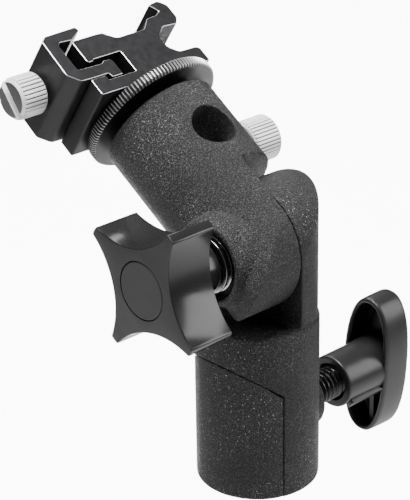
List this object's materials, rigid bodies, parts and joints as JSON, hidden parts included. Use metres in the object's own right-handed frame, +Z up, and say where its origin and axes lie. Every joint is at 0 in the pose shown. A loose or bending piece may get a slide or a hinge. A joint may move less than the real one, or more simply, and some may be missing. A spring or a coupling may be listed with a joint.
{
  "type": "umbrella swivel bracket",
  "caption": "Tilting stand bracket with an umbrella hole, a wing-screw stand socket, a star knob on the tilt joint and a clamp-type accessory shoe on a knurled lock ring.",
  "frame": {"origin": "centre of the stand socket's mouth, on the lower rim plane", "axes": "+Z up along the stand socket, X along the tilt axis (stand lock screw at +X, tilt knob at -X), the head leans toward +Y at rest"},
  "size_m": [0.075, 0.0689, 0.0995],
  "materials": {
    "black_cast": "fine grained black, glass-filled moulding",
    "black_gloss": "smooth black plastic",
    "black_anodised": "black anodised",
    "bright_metal": "bright turned, nickel look",
    "steel": "bare steel",
    "washer_steel": "bright zinc plated",
    "black_steel": "black oxide",
    "brass": "machined",
    "fibre": "brown fibre friction disc",
    "nylon": "black nylon"
  },
  "bodies": {
    "base": {"base_housing": "black_cast", "socket_cover": "black_cast", "socket_sleeve": "steel", "wing_thread_insert": "brass", "tilt_bolt": "black_steel", "tilt_friction_disc": "fibre"},
    "wing_stud": {"wing_stud": "black_steel"},
    "wing_handle": {"wing_handle": "black_gloss"},
    "knob_cap": {"tilt_knob_cap": "black_gloss"},
    "tilt_knob": {"tilt_knob": "black_gloss", "tilt_knob_insert": "brass"},
    "head": {"barrel_housing": "black_cast", "umbrella_thread_insert": "brass", "shoe_stud": "steel", "tilt_spring_washer": "black_steel", "tilt_flat_washer": "washer_steel"},
    "umbrella_shank": {"umbrella_screw_shank": "steel"},
    "umbrella_knob": {"umbrella_screw_head": "bright_metal"},
    "lock_ring": {"lock_ring": "black_steel"},
    "shoe": {"shoe_base": "black_anodised", "shoe_washer": "nylon"},
    "clamp_jaw": {"clamp_jaw": "black_anodised"},
    "clamp_screw": {"clamp_screw": "bright_metal"}
  },
  "joints": [
    {"name": "tilt", "type": "hinge", "parent": "base", "child": "head", "pos_m": [0, 0, 0.0546], "axis": [-1, 0, 0], "range_deg": [-146.4, 33.5]},
    {"name": "tilt_knob_travel", "type": "slide", "parent": "base", "child": "knob_cap", "axis": [-1, 0, 0], "range_m": [-0.0005, 0.0035]},
    {"name": "tilt_knob_turn", "type": "hinge", "parent": "knob_cap", "child": "tilt_knob", "pos_m": [-0.0326, 0, 0.0546], "axis": [-1, 0, 0], "range_deg": [-180.5, 1260.5]},
    {"name": "stand_screw_travel", "type": "slide", "parent": "base", "child": "wing_stud", "axis": [1, 0, 0], "range_m": [-0.0075, 0.0025]},
    {"name": "stand_screw_turn", "type": "hinge", "parent": "wing_stud", "child": "wing_handle", "pos_m": [0.0232, 0, 0.0133], "axis": [1, 0, 0], "range_deg": [-2161, 721]},
    {"name": "umbrella_screw_travel", "type": "slide", "parent": "head", "child": "umbrella_shank", "axis": [1, 0, 0], "range_m": [-0.001, 0.0048]},
    {"name": "umbrella_screw_turn", "type": "hinge", "parent": "umbrella_shank", "child": "umbrella_knob", "pos_m": [0.0148, 0.01949, 0.06754], "axis": [1, 0, 0], "range_deg": [-451, 2161]},
    {"name": "lock_ring_turn", "type": "hinge", "parent": "head", "child": "lock_ring", "pos_m": [0, 0.03107, 0.07523], "axis": [0, 0.8331, 0.5531], "continuous": true},
    {"name": "shoe_swivel", "type": "hinge", "parent": "head", "child": "shoe", "pos_m": [0, 0.03349, 0.07684], "axis": [0, 0.8331, 0.5531], "continuous": true},
    {"name": "jaw_slide", "type": "slide", "parent": "shoe", "child": "clamp_jaw", "axis": [1, 0, 0], "range_m": [-0.001, 0.0032]},
    {"name": "clamp_screw_turn", "type": "hinge", "parent": "clamp_jaw", "child": "clamp_screw", "pos_m": [-0.0226, 0.04349, 0.08347], "axis": [-1, 0, 0], "range_deg": [-2305, 721]}
  ],
  "couplings": [
    {"joint": "tilt_knob_turn", "follows": "tilt_knob_travel", "rad_per_m": 6283.2},
    {"joint": "stand_screw_turn", "follows": "stand_screw_travel", "rad_per_m": 5026.5},
    {"joint": "umbrella_screw_turn", "follows": "umbrella_screw_travel", "rad_per_m": 7854},
    {"joint": "clamp_screw_turn", "follows": "jaw_slide", "rad_per_m": -12566}
  ]
}
